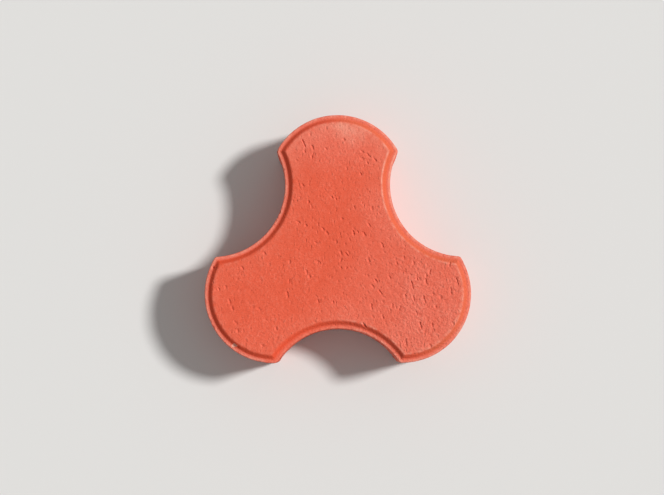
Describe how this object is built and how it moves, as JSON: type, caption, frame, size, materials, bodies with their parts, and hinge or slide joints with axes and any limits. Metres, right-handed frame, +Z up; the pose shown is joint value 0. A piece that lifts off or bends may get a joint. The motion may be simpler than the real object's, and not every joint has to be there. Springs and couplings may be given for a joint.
{
  "type": "concrete paving stone",
  "caption": "Interlocking concrete paving stone with round lobes, matching hollows and a flat wearing face raised above a stepped rim; it lies on a sand or gravel bed among like stones.",
  "frame": {"origin": "on the bed face, at the centre of the threefold pattern", "axes": "+Z up, from the bed to the wearing face; +Y towards one of the lobes; a hollow faces -Y"},
  "size_m": [0.2382, 0.223, 0.06],
  "materials": {
    "concrete": "matte"
  },
  "bodies": {
    "root": {"paving_stone": "concrete"}
  },
  "joints": []
}
